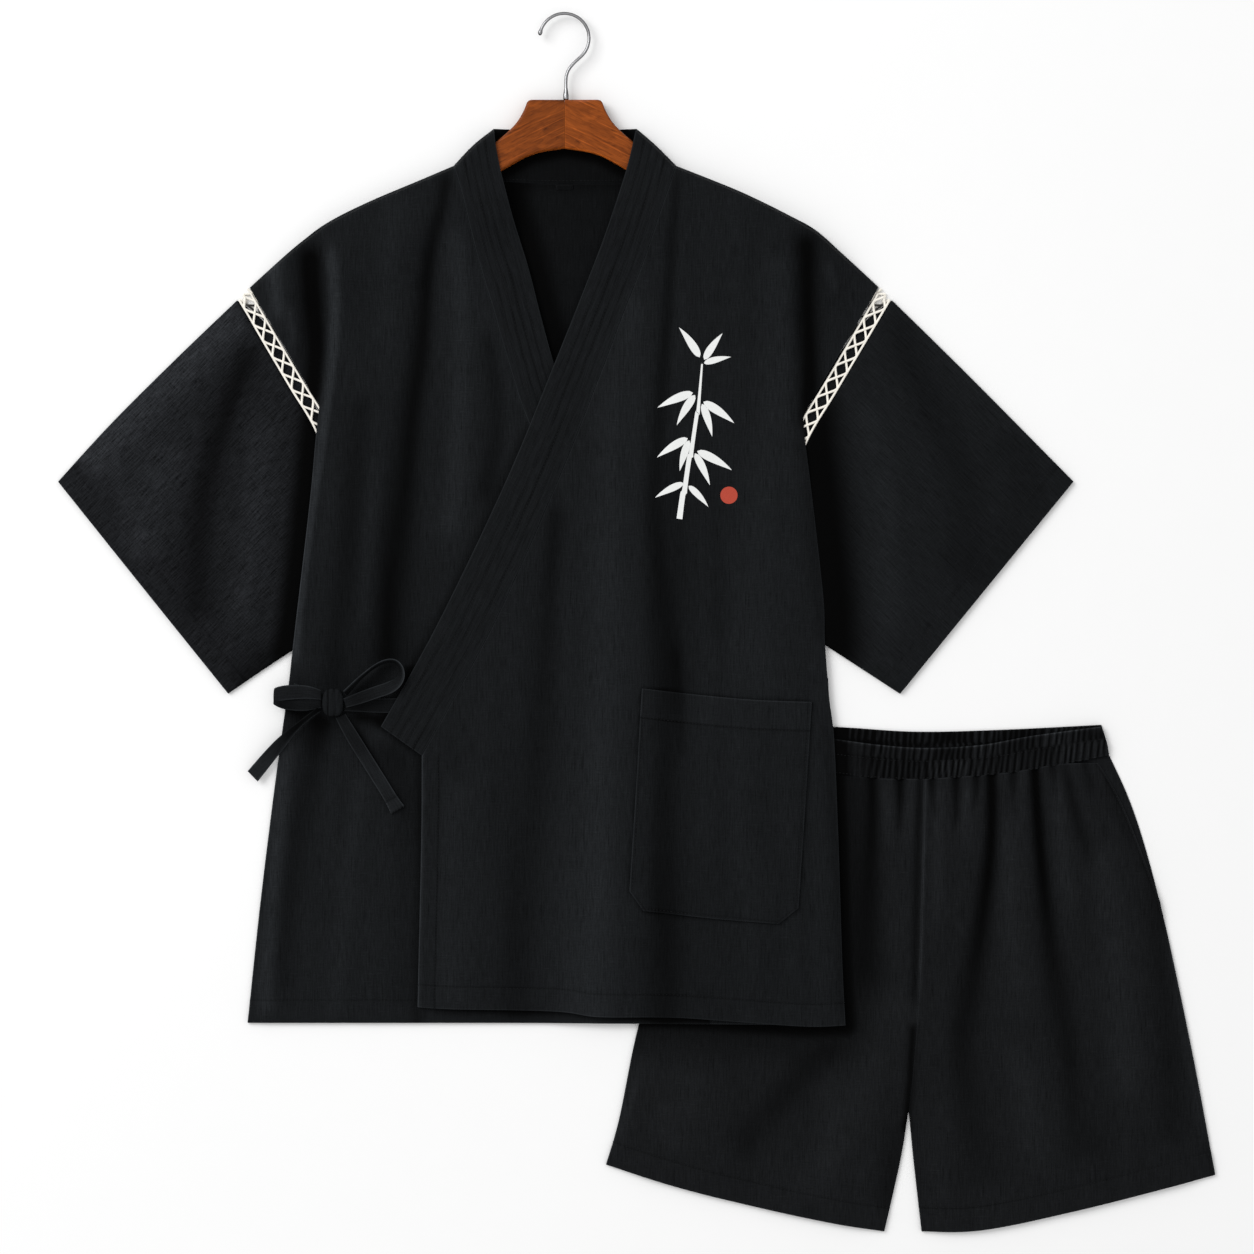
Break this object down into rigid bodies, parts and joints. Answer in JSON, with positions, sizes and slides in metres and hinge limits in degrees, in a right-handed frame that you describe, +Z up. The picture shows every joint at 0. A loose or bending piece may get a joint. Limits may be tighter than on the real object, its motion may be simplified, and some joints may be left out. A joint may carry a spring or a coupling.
{
  "type": "jinbei set with a wooden hanger",
  "caption": "Dark wrap jacket with lace-set sleeves, laid flat on its wooden hanger, with matching elastic-waist shorts tucked under its lower corner.",
  "frame": {"origin": "on the surface the set lies on, under the middle of its bounding box", "axes": "+Z up, away from the surface; +Y towards the hanger's hook; +X towards the side the shorts lie on, which is the picture's right"},
  "size_m": [1.0771, 1.135, 0.0163],
  "materials": {
    "cloth": "matt, fine slub weave, near black",
    "lace": "matt cream cord lace",
    "wood": "red-brown satin varnish",
    "steel": "polished plated wire"
  },
  "bodies": {
    "root": {"jacket_back": "cloth", "front_over": "cloth", "front_under": "cloth", "collar_over": "cloth", "collar_under": "cloth", "collar_back": "cloth", "sleeve_left": "cloth", "sleeve_right": "cloth", "lace_front_left": "lace", "lace_front_right": "lace", "lace_back_left": "lace", "lace_back_right": "lace", "pocket": "cloth", "neck_loop": "cloth", "tie_from_collar": "cloth", "tie_from_side": "cloth", "bow_knot": "cloth", "bow_loop_left": "cloth", "bow_loop_right": "cloth", "bow_tail_left": "cloth", "bow_tail_right": "cloth", "shorts_front_left": "cloth", "shorts_front_right": "cloth", "shorts_back_left": "cloth", "shorts_back_right": "cloth", "waistband_front": "cloth", "waistband_back": "cloth", "hanger_half_left": "wood", "hanger_half_right": "wood", "hanger_hook": "steel"}
  },
  "joints": []
}
